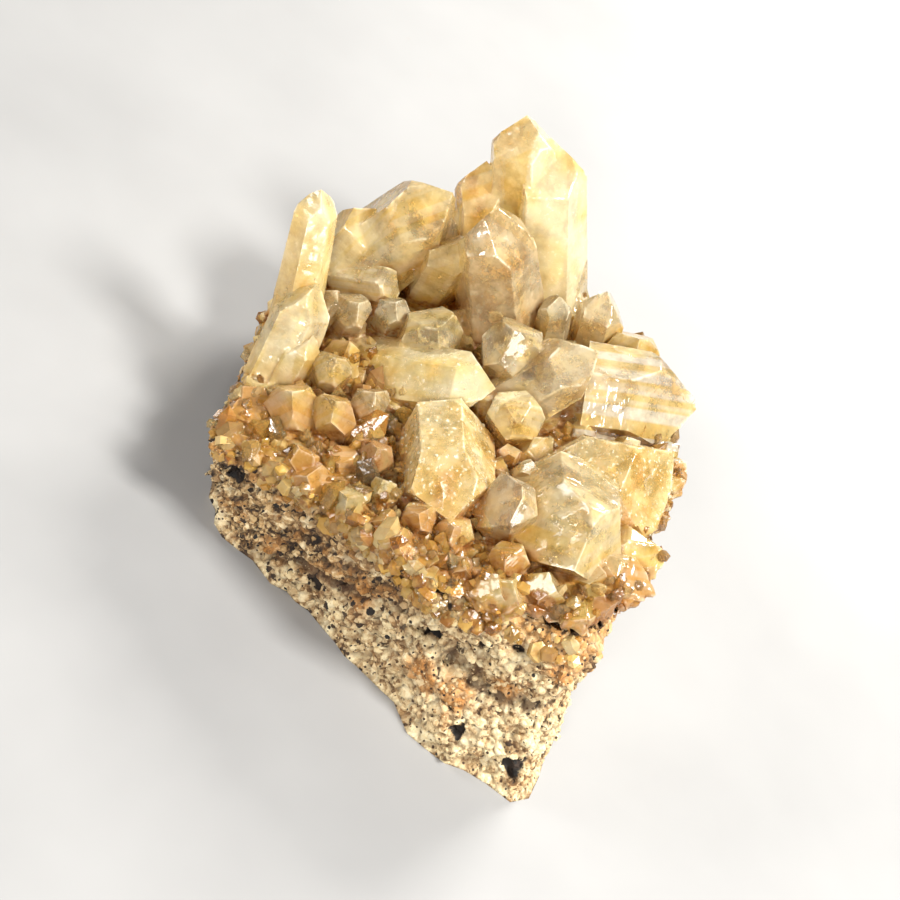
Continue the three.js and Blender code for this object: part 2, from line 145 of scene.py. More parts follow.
# Holes in the rock's front: x, z and radius. And its rust patches.
PITS = [
    (10.2, 10.8, 1.2), (16.2, 14.4, 0.7), (19.2, 16.4, 0.6), (19.2, 4.2, 1.1), (27.1, 3.3, 1.5),
    (-18.2, 8.0, 1.3), (-16.2, 8.4, 0.6), (-3.8, 3.9, 0.8),
]
RUST = [(12.1, 6.2, 2.6), (16.5, 7.4, 2.2), (25, 17.5, 2.5), (1, 8, 2.5), (-10, 4, 1.6), (21, 11, 1.8)]

# The rustiest part of the rim: its middle, and how far round it the rust reaches.
RUSTY_CORNER = (24.5, -15.0, 17.5)
RUSTY_REACH = 7.0

# The longest edges of the dressed meshes, in a full run and in a quick one.
QUARTZ_EDGE, QUICK_QUARTZ_EDGE = 0.5, 1.2
ROCK_EDGE, QUICK_ROCK_EDGE = 0.33, 1.0
SPLIT_ROUNDS = 8  # the most times that long edges are split
SAME_POINT = 0.002  # corners of the CAD that are closer than this are joined

# A point belongs to a large crystal out to this share of its width from its axis, and between
# these shares of the way from its foot to its tip.
CRYSTAL_REACH = 0.72
CRYSTAL_ENDS = (-0.1, 1.25)
SHARP_ANGLE = 22  # degrees: the crystals' edges that turn more than this stay sharp

# The quartz ground between the large crystals: how golden and how cloudy it is, from least to
# most, and how smoky at most.
GROUND_AMBER = (0.2, 0.95)
GROUND_CLOUD = (0.35, 0.85)
GROUND_SMOKE = 0.5

# How much more golden, cloudy and rust-stained the quartz is in each kind of place. It is fully
# low under the first of these heights over the slope, and not at all over the second. Where it is
# shut in, the added gold and rust-brown are partly real iron staining and partly painted shade.
FOOT_BOTTOM, FOOT_TOP = 1.0, 6.0
AMBER_GAINS = {"low": 0.4, "shut": 0.3, "corner": 0.5}
CLOUD_GAINS = {"low": 0.2}
RUST_AND_SHADE_GAINS = {"ground": 0.4, "low": 0.15, "corner": 0.5, "low and shut": 1.4, "tight_stain_and_shade": 1.4}

# How far rays look for something that shuts a place in, how many there are, and how far off
# the surface they start.
QUARTZ_CREVICE, ROCK_CREVICE = 5.0, 2.0
CREVICE_RAYS = 10
CREVICE_LIFT = 0.02

# Layers of noise, each with its height, size and seed.
GROUND_LAYERS = ((0.25, 0.9, 6),)
CRYSTAL_LAYERS = ((0.08, 2.2, 0), (0.04, 0.8, 5))
ROCK_LAYERS = ((0.8, 3.2, 1), (0.4, 1.1, 2), (0.2, 0.55, 4))
PIT_LAYERS = ((0.3, 1.1, 2), (0.35, 0.6, 9))
ZONE_LAYERS = ((1.6, 5, 11), (1.3, 1.4, 12))
PATCH_LAYERS = ((1.0, 7, 13), (0.3, 2, 14))
LEDGE_LAYERS = ((1.1, 6, 51), (0.35, 1.8, 52))

# The quartz ground: the size and height of its lumps, and between which heights over the slope
# it gives way to smooth crystal, which is sunk a little to stay near the CAD solid.
LUMP_SIZE, LUMP_HEIGHT = 1.7, 0.9
GROUND_END = (2.4, 1.0)
CRYSTAL_SINK = 0.04

# The rock: the size of its coarse grains and how far they bulge, its ledges, pits and creases.
ROCK_GRAIN, GRAIN_BULGE = 1.35, 0.75
LEDGE_HEIGHT, PIT_DEPTH, CREASE_DEPTH = 0.9, 1.1, 0.9

# The druse, coarse and then fine: its spacing, its widths, its length for its width, and how
# high over the slope it still grows.
DRUSE = ((3.2, (1.8, 3.2), 1.0, 2.4), (1.7, (0.8, 1.7), 0.8, 3.0))
RIM_TRIES = 1300  # how many orange grains are tried round the rim
RIM_RADIUS = 24  # about how far from the middle they are
RIM_BAND = (-2.6, 1.5)  # how far below and above the slope the orange grains sit
SUGAR_COUNT = 1500
GRAIN_COUNT = 5000

# The six-sided crystal of the small quartz: foot ring 0 to 5, shoulder ring 6 to 11, point 12.
PRISM_FACES = [(i, (i + 1) % 6, 6 + (i + 1) % 6, 6 + i) for i in range(6)]
POINT_FACES = [(6 + i, 6 + (i + 1) % 6, 12) for i in range(6)]
CRYSTAL_FACES = [*PRISM_FACES, *POINT_FACES, (5, 4, 3, 2, 1, 0)]
SMALL_VALUES = ("amber", "cloud", "smoke", "rust")

OUTSIDE = 60  # a place or distance that is well outside the part
DOWN = Vector((0, 0, -1))

QUARTZ_IOR = 1.544

# Colours, as linear red, green and blue. A list of them also says where each one stands from 0
# to 1, in a ramp.
ABSORB_COLOUR, ABSORB_DENSITY = (0.97, 0.81, 0.34), 90.0
QUARTZ_GOLDS = (
    (0.0, (0.95, 0.86, 0.57)), (0.35, (0.94, 0.77, 0.33)),
    (0.7, (0.92, 0.61, 0.13)), (1.0, (0.80, 0.38, 0.05)),
)
SMOKE = (0.62, 0.46, 0.34)
MIST = (0.95, 0.85, 0.60)
BAND_DARK = (0.92, 0.68, 0.24)
BAND_PALE = (0.96, 0.92, 0.76)
# White of frost, also used for flecks that are painted glints.
FROST_AND_GLINT = (0.97, 0.94, 0.84)
# Pale of chips, also painted along the outward edges as a highlight.
CHIP_AND_EDGE_HIGHLIGHT = (0.98, 0.94, 0.80)
# Rust-brown of real stains, also laid into the crevices between crystals as painted shade.
QUARTZ_RUST_AND_SHADE = (0.23, 0.085, 0.016)
SMALL_GOLDS = (
    (0.0, (0.92, 0.84, 0.60)), (0.35, (0.88, 0.69, 0.32)),
    (0.7, (0.80, 0.50, 0.12)), (1.0, (0.58, 0.27, 0.05)),
)
SMALL_SMOKE = (0.38, 0.24, 0.12)
SMALL_RUST = (0.32, 0.12, 0.025)
VEIL_COLOURS = ((0.0, (0.95, 0.76, 0.36)), (0.4, (0.98, 0.94, 0.80)), (1.0, (0.80, 0.52, 0.18)))
PALE_ROCK = (
    (0.0, (0.04, 0.025, 0.015)), (0.14, (0.20, 0.115, 0.05)), (0.3, (0.42, 0.28, 0.13)),
    (0.5, (0.66, 0.50, 0.28)), (0.75, (0.78, 0.63, 0.36)), (1.0, (0.88, 0.76, 0.49)),
)
DARK_ROCK = (
    (0.0, (0.012, 0.01, 0.008)), (0.24, (0.06, 0.036, 0.02)), (0.42, (0.25, 0.15, 0.065)),
    (0.6, (0.50, 0.32, 0.14)), (0.8, (0.76, 0.56, 0.29)), (1.0, (0.90, 0.74, 0.46)),
)
ROCK_RUST = (0.52, 0.25, 0.07)
ROCK_STAIN = (0.55, 0.24, 0.055)
ROCK_ORANGE = (0.62, 0.31, 0.08)
SPECK = (0.02, 0.016, 0.013)
# Painted shade of tiny pores, which have no hollow in the mesh.
PORE_SHADE = (0.05, 0.03, 0.018)
# Painted shade for the gaps between grains, the creases, the pits and the places that are shut in.
GAP_SHADE = (0.14, 0.075, 0.035)
CREASE_SHADE = (0.10, 0.05, 0.024)
PIT_SHADE = (0.012, 0.01, 0.009)
SHUT_IN_SHADE = (0.045, 0.028, 0.018)

# Each lamp's name, place and size in metres, power in watts, and colour.
LAMPS = (
    ("key", (0.24, -0.02, 0.42), 0.12, 3.5, (1.0, 0.98, 0.94)),
    ("back", (0.05, 0.38, 0.26), 0.14, 2.7, (1.0, 0.97, 0.92)),
    ("front", (0.0, -0.38, 0.24), 0.1, 1.3, (1.0, 0.97, 0.94)),
    ("left", (-0.36, -0.05, 0.25), 0.16, 1.0, (1.0, 0.98, 0.96)),
    ("right", (0.4, -0.16, 0.1), 0.12, 0.6, (1.0, 0.98, 0.96)),
)
WORLD_COLOUR, WORLD_STRENGTH = (1, 0.98, 0.95), 0.14

CAMERA_ELEVATION, CAMERA_ROLL = 42, 35  # degrees
CAMERA_TARGET = (0.3, -2.2, 15.0)  # in the plan
CAMERA_DISTANCE = 0.2941  # metres
CAMERA_LENS = 100


# ---- noise and other numbers at points ----


def smooth(low, high, values):
    """A soft step from 0 at low to 1 at high, which may also be the smaller of the two."""
    t = np.clip((values - low) / (high - low), 0, 1)
    return t * t * (3 - 2 * t)


def between(ends, share):
    """The value at a share of the way between two ends."""
    return ends[0] + (ends[1] - ends[0]) * share


def field(points, size, seed=0.0):
    """Smooth noise from -1 to 1 at points in mm."""
    shift = Vector((seed, 1.7 * seed, -seed))
    return np.array([noise.noise(Vector(p) / size + shift) for p in points])


def layered(points, layers):
    """A sum of noise layers, each with its height, size and seed."""
    return sum(height * field(points, size, seed) for height, size, seed in layers)


def cell_values(points, size, seed):
    """For points in mm: distance to the nearest and next cell centre, and a number per cell."""
    near, second, tone = np.zeros((3, len(points)))
    shift = Vector((seed, 2.3 * seed, -seed))
    for i, p in enumerate(points):
        distances, centres = noise.voronoi(Vector(p) / size + shift)
        near[i], second[i] = distances[0], distances[1]
        tone[i] = hashed(centres[0])
    return near, second, tone


def hashed(centre):
    """A number from 0 to 1 that looks random and depends on a cell's centre alone."""
    scrambled = math.sin(centre.x * 127.1 + centre.y * 311.7 + centre.z * 74.7) * 43758.5453
    return scrambled - math.floor(scrambled)


def plan(co):
    """Points of the frame, given in metres, in mm in the plan."""
    return co / MM + ORIGIN


def above_ground(points):
    """How far points in the plan stand over the slope that the crystals grow on."""
    return points[..., 2] - GROWTH_HEIGHT - GROWTH_SLOPE * points[..., 0]


# ---- mesh helpers ----


def new_piece(name, shape, smooth_faces=True):
    """A new object made of a bmesh, or of lists of points, edges and faces."""
    mesh = bpy.data.meshes.new(name)
    if isinstance(shape, bmesh.types.BMesh):
        shape.to_mesh(mesh)
        shape.free()
    else:
        mesh.from_pydata(*shape)
    mesh.polygons.foreach_set("use_smooth", [smooth_faces] * len(mesh.polygons))
    piece = bpy.data.objects.new(name, mesh)
    bpy.context.scene.collection.objects.link(piece)
    return piece


def cad_bmesh(node):
    """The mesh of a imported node, with corners that coincide joined."""
    bm = bmesh.new()
    bm.from_mesh(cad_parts[node].data)
    bmesh.ops.remove_doubles(bm, verts=bm.verts, dist=SAME_POINT * MM)
    return bm


def refine(bm, longest, wanted=None):
    """Splits edges until none of the wanted faces has one longer than longest, in mm."""
    for _ in range(SPLIT_ROUNDS):
        bmesh.ops.triangulate(bm, faces=bm.faces)
        long = [
            e
            for e in bm.edges
            if e.calc_length() > longest * MM and (wanted is None or any(map(wanted, e.link_faces)))
        ]
        if not long:
            return
        bmesh.ops.subdivide_edges(bm, edges=long, cuts=1)
    bmesh.ops.triangulate(bm, faces=bm.faces)


def vertex_rows(mesh, what):
    """Three numbers for each vertex of a mesh: its "co" in metres or its "normal"."""
    rows = np.zeros(len(mesh.vertices) * 3)
    mesh.vertices.foreach_get(what, rows)
    return rows.reshape(-1, 3)


def points_of(mesh):
    return vertex_rows(mesh, "co")


def normals_of(mesh):
    return vertex_rows(mesh, "normal")


def held_in_box(co):
    """Points in metres, moved into the box of the CAD part where they stick out."""
    low, high = (np.array(corner) for corner in cad_box)
    return np.clip(co, low, high)


def push_out(mesh, out):
    """Moves each vertex of a mesh outwards along its normal, by its own share of mm."""
    co = points_of(mesh) + normals_of(mesh) * (out * MM)[:, None]
    mesh.vertices.foreach_set("co", held_in_box(co).ravel())
    mesh.update()


def give(mesh, name, values):
    """Stores one number per vertex, which a material reads by its name."""
    attribute = mesh.attributes.new(name, "FLOAT", "POINT")
    attribute.data.foreach_set("value", np.asarray(values, np.float32))


def samples_on(mesh, count, rng, wanted):
    """Random points and normals, in metres, on the triangles for which wanted(middle, normal)."""
    co = points_of(mesh)
    mesh.calc_loop_triangles()
    tri = np.array([t.vertices[:] for t in mesh.loop_triangles])
    a, b, c = co[tri[:, 0]], co[tri[:, 1]], co[tri[:, 2]]
    across = np.cross(b - a, c - a)
    area = np.linalg.norm(across, axis=1)
    normal = across / np.maximum(area, 1e-12)[:, None]
    area = area * wanted((a + b + c) / 3, normal)
    pick = rng.choice(len(tri), count, p=area / area.sum())
    u, v = rng.random(count), rng.random(count)
    over = u + v > 1
    u[over], v[over] = 1 - u[over], 1 - v[over]
    u, v = u[:, None], v[:, None]
    return a[pick] + u * (b[pick] - a[pick]) + v * (c[pick] - a[pick]), normal[pick]


def basis(axis, spin):
    """Three unit columns, the last along axis, turned by spin round it."""
    axis = axis / np.linalg.norm(axis)
    side = np.cross(axis, (0.3, 1.0, 0.2) if abs(axis[1]) < 0.9 else (1.0, 0.2, 0.1))
    side /= np.linalg.norm(side)
    third = np.cross(axis, side)
    c, s = math.cos(spin), math.sin(spin)
    return np.stack([c * side + s * third, c * third - s * side, axis], axis=1)


def tree_of(*meshes):
    """The meshes' faces in one tree that rays can be cast at."""
    points, faces = [], []
    for mesh in meshes:
        start = len(points)
        faces += [tuple(i + start for i in p.vertices) for p in mesh.polygons]
        points += [v.co.copy() for v in mesh.vertices]
    return BVHTree.FromPolygons(points, faces)


def crevice(mesh, reach):
    """How shut in each vertex is, from 0 in the open to 1, by rays up to reach mm long."""
    tree = tree_of(mesh)
    spread = np.random.default_rng(3).normal(size=(CREVICE_RAYS, 3))
    spread /= np.linalg.norm(spread, axis=1)[:, None]
    shut = np.zeros(len(mesh.vertices))
    for i, (p, n) in enumerate(zip(points_of(mesh), normals_of(mesh))):
        start = Vector(p + n * CREVICE_LIFT * MM)
        for s in spread:
            way = Vector(n * 1.05 + s)
            if way.length > 0.2:
                hit = tree.ray_cast(start, way.normalized(), reach * MM)
                if hit[0] is not None:
                    shut[i] += 1 - hit[3] / (reach * MM)
    return np.clip(shut / CREVICE_RAYS, 0, 1)


class Gathered:
    """Many small closed shapes put together as one mesh, each vertex with its own values."""

    def __init__(self, seed):
        self.rng = np.random.default_rng(seed)
        self.points, self.faces, self.values = [], [], []
        self.count = 0

    def put(self, points, faces, *values):
        self.points.append(points)
        self.faces.extend([tuple(i + self.count for i in face) for face in faces])
        self.values.append(np.tile(values, (len(points), 1)))
        self.count += len(points)

    def piece(self, name, slot, attributes, smooth_faces=False):
        points = held_in_box(np.concatenate(self.points)).tolist()
        piece = new_piece(name, (points, [], self.faces), smooth_faces)
        values = np.concatenate(self.values)
        for i, attribute in enumerate(attributes):
            give(piece.data, attribute, values[:, i])
        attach(piece, "root")
        return piece


# ---- the quartz ----


def crystal_axis(foot, tip):
    """A crystal's foot, the way to its tip, and that way's length, all in the plan."""
    foot = np.array(foot, float)
    axis = np.array(tip, float) - foot
    return foot, axis, np.linalg.norm(axis)


def nearest_crystal(points):
    """For points in the plan: the large crystal each is in, -1 for none, how far along its axis
    it is, and how far across it in the way that its bands are stacked."""
    nearest = np.full(len(points), 1.0)
    which = np.full(len(points), -1)
    along = np.full(len(points), 0.2)
    aside = np.zeros(len(points))
    for k, (foot, tip, across, _) in enumerate(CRYSTALS):
        foot, axis, length = crystal_axis(foot, tip)
        t = (points - foot) @ axis / length**2
        away = np.linalg.norm(points - foot - np.outer(np.clip(t, 0, 1), axis), axis=1)
        share = away / (CRYSTAL_REACH * across)
        closer = (share < nearest) & (t > CRYSTAL_ENDS[0]) & (t < CRYSTAL_ENDS[1])
        unit = axis / length
        side = (points - foot) @ (BAND_WAY - (BAND_WAY @ unit) * unit) / across
        nearest[closer], which[closer] = share[closer], k
        along[closer], aside[closer] = t[closer], side[closer]
    return which, along, aside


def crystal_looks(points, which):
    """The look values of points in the plan, some in large crystals, some on the ground."""
    looks = [LOOKS[look] for _, _, _, look in CRYSTALS] + [LOOKS["amber"]]  # the last: ground
    values = dict(zip(LOOK_VALUES, np.array(looks)[which].T))
    loose = which < 0
    _, _, tone = cell_values(points, 4.4, seed=9)
    _, _, grey = cell_values(points, 3.7, seed=19)
    values["amber"][loose] = between(GROUND_AMBER, tone[loose])
    values["cloud"][loose] = between(GROUND_CLOUD, grey[loose])
    values["smoke"][loose] = GROUND_SMOKE * smooth(0.6, 1.0, grey[loose])
    return values


def rusty(points):
    """How far into the rusty corner of the rim points in the plan are, 0 to 1."""
    away = np.linalg.norm(points - RUSTY_CORNER, axis=-1)
    return smooth(RUSTY_REACH, 0.4 * RUSTY_REACH, away)


def outward_turn(mesh):
    """How sharply the surface turns outwards at each of a mesh's points, 0 to 1."""
    co, normal = points_of(mesh), normals_of(mesh)
    ends = np.empty(len(mesh.edges) * 2, dtype=np.int32)
    mesh.edges.foreach_get("vertices", ends)
    first, second = ends.reshape(-1, 2).T
    way = co[second] - co[first]
    way /= np.linalg.norm(way, axis=1)[:, None] + 1e-9
    turn, count = np.zeros(len(co)), np.zeros(len(co))
    for here, sign in ((first, -1), (second, 1)):
        np.add.at(turn, here, sign * np.einsum("ij,ij->i", normal[here], way))
        np.add.at(count, here, 1)
    return smooth(0.18, 0.4, turn / np.maximum(count, 1))


def gained(gains, places):
    """The sum of what each kind of place adds to a value."""
    return sum(gain * places[name] for name, gain in gains.items())


def dress_quartz(mesh):
    """Gives each vertex of the crystals the values that their material reads."""
    points = plan(points_of(mesh))
    which, along, aside = nearest_crystal(points)
    values = crystal_looks(points, which)
    height = above_ground(points)
    low = np.clip((FOOT_TOP - height) / (FOOT_TOP - FOOT_BOTTOM), 0, 1)
    shut = crevice(mesh, QUARTZ_CREVICE)
    places = {
        "low": low,
        "shut": shut,
        "corner": rusty(points),
        "ground": smooth(2.5, 0.5, height) * (which < 0),
        "low and shut": low * shut,
        "tight_stain_and_shade": shut**1.5,
    }
    give(mesh, "amber", np.clip(values["amber"] + gained(AMBER_GAINS, places), 0, 1.1))
    give(mesh, "cloud", np.clip(values["cloud"] + gained(CLOUD_GAINS, places), 0, 1))
    # The rust is partly real staining, and where crystals shut each other in it is partly painted
    # shade.
    give(mesh, "rust", np.clip(0.4 * values["rust"] + gained(RUST_AND_SHADE_GAINS, places), 0, 1))
    for name in ("frost", "smoke", "bands"):
        give(mesh, name, values[name])
    give(mesh, "edge", outward_turn(mesh))
    give(mesh, "along", along + 1.7 * which)  # neighbours get different lines and bands
    give(mesh, "aside", aside + 1.3 * which)


def quartz_relief(points):
    """How far the quartz stands out at points in mm: lumpy ground, slightly wavy crystals."""
    near, second, _ = cell_values(points, LUMP_SIZE, seed=41)
    lumps = LUMP_HEIGHT * (np.sqrt(np.clip(second - near, 0, 1)) - 0.5)
    lumps += layered(points, GROUND_LAYERS)
    wave = layered(points, CRYSTAL_LAYERS) - CRYSTAL_SINK
    return wave + (lumps - wave) * smooth(*GROUND_END, above_ground(points + ORIGIN))


def quartz_piece():
    """The large crystals and their ground, with the relief that is too fine for the CAD."""
    bm = cad_bmesh("quartz_crystals")
    bmesh.ops.dissolve_limit(
        bm, angle_limit=math.radians(1.0), verts=bm.verts, edges=bm.edges, delimit=set()
    )
    refine(bm, QUARTZ_EDGE)
    bm.normal_update()
    piece = new_piece("quartz_cluster", bm)
    push_out(piece.data, quartz_relief(points_of(piece.data) / MM))
    piece.data.set_sharp_from_angle(angle=math.radians(SHARP_ANGLE))
    dress_quartz(piece.data)
    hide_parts("quartz_crystals")
    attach(piece, "root")
    return piece


def put_crystal(heap, foot, axis, length, across, *values):
    """A small six-sided crystal, in mm, from its foot along an axis, with an uneven point.
    It is rooted below its foot by a third of its width."""
    rng = heap.rng
    angle = np.arange(6) * math.pi / 3 + rng.uniform(-0.12, 0.12, 6)
    reach = 0.5 * across * rng.uniform(0.8, 1.15, 6)
    ring = np.stack([np.cos(angle) * reach, np.sin(angle) * reach], axis=1)
    shoulder = length - across * rng.uniform(0.25, 0.85, 6)
    tip = [*(rng.uniform(-0.12, 0.12, 2) * across), length]
    local = np.zeros((13, 3))
    local[:6, :2], local[6:12, :2] = ring, ring * 0.93
    local[:6, 2], local[6:12, 2] = -0.35 * across, np.maximum(shoulder, 0.1 * across)
    local[12] = tip
    turned = local @ basis(np.asarray(axis), rng.uniform(0, 6)).T
    heap.put((turned + foot) * MM, CRYSTAL_FACES, *values)


def ground_hits(tree, spacing, rng, highest):
    """Points in mm on the ground between the large crystals, on a jittered grid."""
    found = []
    for gx in np.arange(-31, 31, spacing):
        for gy in np.arange(-35, 35, spacing):
            x, y = gx + spacing * rng.random(), gy + spacing * rng.random()
            hit = tree.ray_cast(Vector((x, y, OUTSIDE)) * MM, DOWN)
            if hit[0] is None:
                continue
            point = np.array(hit[0]) / MM
            if above_ground(point + ORIGIN) < highest and hit[1].z > 0.2:
                found.append((point, np.array(hit[1])))
    return found


def druse_piece(tree):
    """Small crystals that fill the ground between the large ones."""
    heap = Gathered(seed=21)
    rng = heap.rng
    for spacing, widths, tall, highest in DRUSE:
        for point, normal in ground_hits(tree, spacing, rng, highest):
            axis = 0.8 * normal + rng.normal(size=3) * 0.35 + (0, 0, 0.5)
            axis /= np.linalg.norm(axis)
            width = rng.uniform(*widths)
            length = width * tall * rng.uniform(0.7, 1.4)
            point = point - 0.15 * width * normal
            end = Vector((point + axis * (length + 0.5 * width) + (0, 0, 0.5)) * MM)
            if tree.ray_cast(end, DOWN, 8 * MM)[0] is None:
                continue  # its point would hang out over the rim
            corner = rusty(point + ORIGIN)
            amber = rng.uniform(0.3, 1.0) + 0.4 * corner
            cloud = rng.uniform(0.2, 0.8)
            smoke = rng.choice([0, 0, 0, 0.2, 0.6])
            rust = rng.uniform(0, 0.5) + 0.5 * corner
            put_crystal(heap, point, axis, length, width, amber, cloud, smoke, rust)
    return heap.piece("druse", "quartz", SMALL_VALUES)


def rim_hits(tree, rng):
    """Points in mm and normals on the rim, where the crystals meet the rock."""
    places, normals = [], []
    for _ in range(RIM_TRIES):
        angle = rng.uniform(0, 2 * math.pi)
        way = np.array([math.cos(angle), math.sin(angle), 0])
        level = GROWTH_HEIGHT + GROWTH_SLOPE * RIM_RADIUS * way[0] + 1.5 * rng.normal() - 0.7
        hit = tree.ray_cast(Vector(way * OUTSIDE + (0, 0, level)) * MM, Vector(-way))
        if hit[0] is None:
            continue
        point = np.array(hit[0]) / MM
        if RIM_BAND[0] < above_ground(point + ORIGIN) < RIM_BAND[1]:
            places.append(point)
            normals.append(np.array(hit[1]))
    return np.array(places), normals


def contact_piece(tree):
    """Grainy orange quartz round the rim, but not on the large crystals."""
    heap = Gathered(seed=22)
    rng = heap.rng
    places, normals = rim_hits(tree, rng)
    on_crystal = nearest_crystal(places + ORIGIN)[0] >= 0
    for point, normal, taken in zip(places, normals, on_crystal):
        if taken:
            continue
        axis = normal + rng.normal(size=3) * 0.4 + (0, 0, 0.3)
        width = rng.uniform(1.4, 2.6) if rng.random() < 0.3 else rng.uniform(0.5, 1.3)
        length = width * rng.uniform(0.1, 0.4)
        amber, cloud = rng.uniform(0.3, 1.0), rng.uniform(0.3, 0.8)
        smoke = rng.choice([0, 0, 0.2, 0.5])
        rust = rng.random() ** 1.5 + 0.4 * rusty(point + ORIGIN)
        put_crystal(heap, point, axis, length, width, amber, cloud, smoke, rust)
    return heap.piece("contact_grains", "quartz", SMALL_VALUES)


def sugar_piece(quartz):
    """Tiny crystals that sit on the frosted faces and catch the light."""
    heap = Gathered(seed=23)
    rng = heap.rng

    def frosted(middle, normal):
        points = plan(middle)
        return crystal_looks(points, nearest_crystal(points)[0])["frost"] ** 3

    places, normals = samples_on(quartz.data, SUGAR_COUNT, rng, frosted)
    for place, normal in zip(places / MM, normals):
        width = 0.12 + 0.4 * rng.random() ** 4
        axis = normal + rng.normal(size=3) * 0.4
        put_crystal(heap, place, axis, 0.25 * width, width, 0.05, 0.6, 0, 0)
    return heap.piece("face_sugar", "quartz", SMALL_VALUES)


def disc_faces(rings, around):
    """Faces of a disc of rings of points round a middle point."""
    faces = [(0, 1 + i, 1 + (i + 1) % around) for i in range(around)]
    for r in range(rings - 1):
        for i in range(around):
            a, b = 1 + r * around + i, 1 + r * around + (i + 1) % around
            faces.append((a, a + around, b + around, b))
    return faces


def veil_piece():
    """Healed fractures: thin wavy sheets inside the large crystals."""
    heap = Gathered(seed=24)
    rng = heap.rng
    rings, around = 3, 12
    faces = disc_faces(rings, around)
    for foot, tip, across, _ in CRYSTALS:
        foot, axis, length = crystal_axis(foot, tip)
        for _ in range(int(2 + length * across / 14)):
            t = rng.uniform(0.1, 0.8)
            size = across * rng.uniform(0.18, 0.4)
            middle = foot + t * axis + rng.normal(size=3) * 0.05 * across - ORIGIN
            turn = basis(rng.normal(size=3), 0.0)
            local = [(0.0, 0.0, 0.0)]
            for r in range(1, rings + 1):
                for i in range(around):
                    angle = 2 * math.pi * i / around
                    reach = size * r / rings * rng.uniform(0.75, 1.0)
                    bend = 0.12 * size * rng.normal()
                    local.append((math.cos(angle) * reach, 0.7 * math.sin(angle) * reach, bend))
            heap.put((np.array(local) @ turn.T + middle) * MM, faces, rng.random())
    return heap.piece("healed_fractures", "quartz", ("tone",), smooth_faces=True)


# ---- the rock ----


def is_side(face):
    """Whether a face of the rock is not on its flat underside or its covered top."""
    return face.calc_center_median().z > 2e-5 and face.normal.z < 0.75


def line_at(line, x):
    """The height of a line of x and z corners at x."""
    return np.interp(x, *zip(*line))


def crease_depth(points):
    """Share of the way into the creases that run across the front, 0 to 1, which the material darkens
    with painted shade.
    """
    x, y, z = (points + ORIGIN).T
    wobble = 0.5 * field(points, 1.8, seed=8)
    deep = np.zeros(len(points))
    for line, half in CREASES:
        inside = (x > line[0][0]) & (x < line[-1][0]) & (y < CREASES_Y)
        away = (z + wobble - line_at(line, x)) / half
        deep = np.maximum(deep, np.exp(-(away**2)) * inside)
    return deep


def dark_share(points):
    """How much a place on the rock belongs to its dark upper zone, 0 to 1."""
    x, y, z = (points + ORIGIN).T
    swing = layered(points, ZONE_LAYERS)
    front = smooth(-1.2, 1.4, z + swing - line_at(CREASES[0][0], x))
    patches = smooth(-0.1, 0.35, layered(points, PATCH_LAYERS))
    return np.where(y < FRONT_Y, front, np.maximum(front, patches) * 0.8)


def round_spots(points, spots, wobble):
    """How far into round places on the front, given as x, z and radius, each point is, 0 to 1."""
    x, y, z = (points + ORIGIN).T
    inside = np.zeros(len(points))
    for at_x, at_z, radius in spots:
        away = np.hypot(x - at_x, z - at_z) / radius + wobble
        inside = np.maximum(inside, smooth(1.15, 0.55, away) * (y < SPOTS_Y))
    return inside


def ledges(points):
    """Broken ledges that run along the rock: 0 at the foot of each one, 1 at its lip."""
    x, _, z = (points + ORIGIN).T
    level = (z - 0.45 * x) / 2.3 + layered(points, LEDGE_LAYERS)
    return (level - np.floor(level)) ** 1.5


def pit_depth(points):
    """Share of the way into the rock's large pits and its many small ones, 0 to 1."""
    hole, _, tone = cell_values(points, 3.1, seed=17)
    small = smooth(0, 1, 1 - hole / (0.06 + 0.24 * tone**3))
    return np.maximum(small, round_spots(points, PITS, layered(points, PIT_LAYERS)))


def rock_form(points):
    """How far the rock stands out at points in mm, and the values that its material reads."""
    near, second, tone = cell_values(points, ROCK_GRAIN, seed=3)
    pit, crease, dark = pit_depth(points), crease_depth(points), dark_share(points)
    patchy = smooth(-0.35, 0.3, field(points, 2.6, seed=33))
    out = layered(points, ROCK_LAYERS)
    out += GRAIN_BULGE * (np.sqrt(np.clip(second - near, 0, 1)) - 1)
    out += LEDGE_HEIGHT * (ledges(points) - 0.5) * between((0.3, 1.0), dark)
    out -= PIT_DEPTH * pit + CREASE_DEPTH * crease * patchy
    off_the_floor = np.clip(points[:, 2] / 0.8, 0, 1)
    place = points + ORIGIN
    below = 1.2 * field(points, 2.4, seed=31) - above_ground(place)
    values = {
        "pit": pit,
        "crease": crease * between((0.4, 1.0), patchy),
        "tone": tone,
        "gap": smooth(0.22, 0.0, second - near),
        "dark": dark,
        "pepper": smooth(9, 3, place[:, 0]) * (points[:, 1] < 0),
        "stain": round_spots(points, RUST, 0.45 * field(points, 1.6, seed=34)),
        "contact": smooth(3.4, 0.3, below),
    }
    return out * off_the_floor, values


def rock_piece():
    """The rock, grainy and pitted."""
    bm = cad_bmesh("rock_matrix")
    bm.normal_update()
    refine(bm, ROCK_EDGE, is_side)
    bm.normal_update()
    piece = new_piece("rock", bm)
    mesh = piece.data
    out, values = rock_form(points_of(mesh) / MM)
    push_out(mesh, out)
    for name, numbers in values.items():
        give(mesh, name, numbers)
    # How shut in each place is, where the material paints shade.
    give(mesh, "shut", crevice(mesh, ROCK_CREVICE))
    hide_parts("rock_matrix")
    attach(piece, "root")
    return piece


def grain_shape():
    """The twelve points of an icosahedron and its faces."""
    bm = bmesh.new()
    bmesh.ops.create_icosphere(bm, subdivisions=1, radius=1.0)
    points = np.array([v.co[:] for v in bm.verts])
    faces = [tuple(v.index for v in f.verts) for f in bm.faces]
    bm.free()
    return points, faces


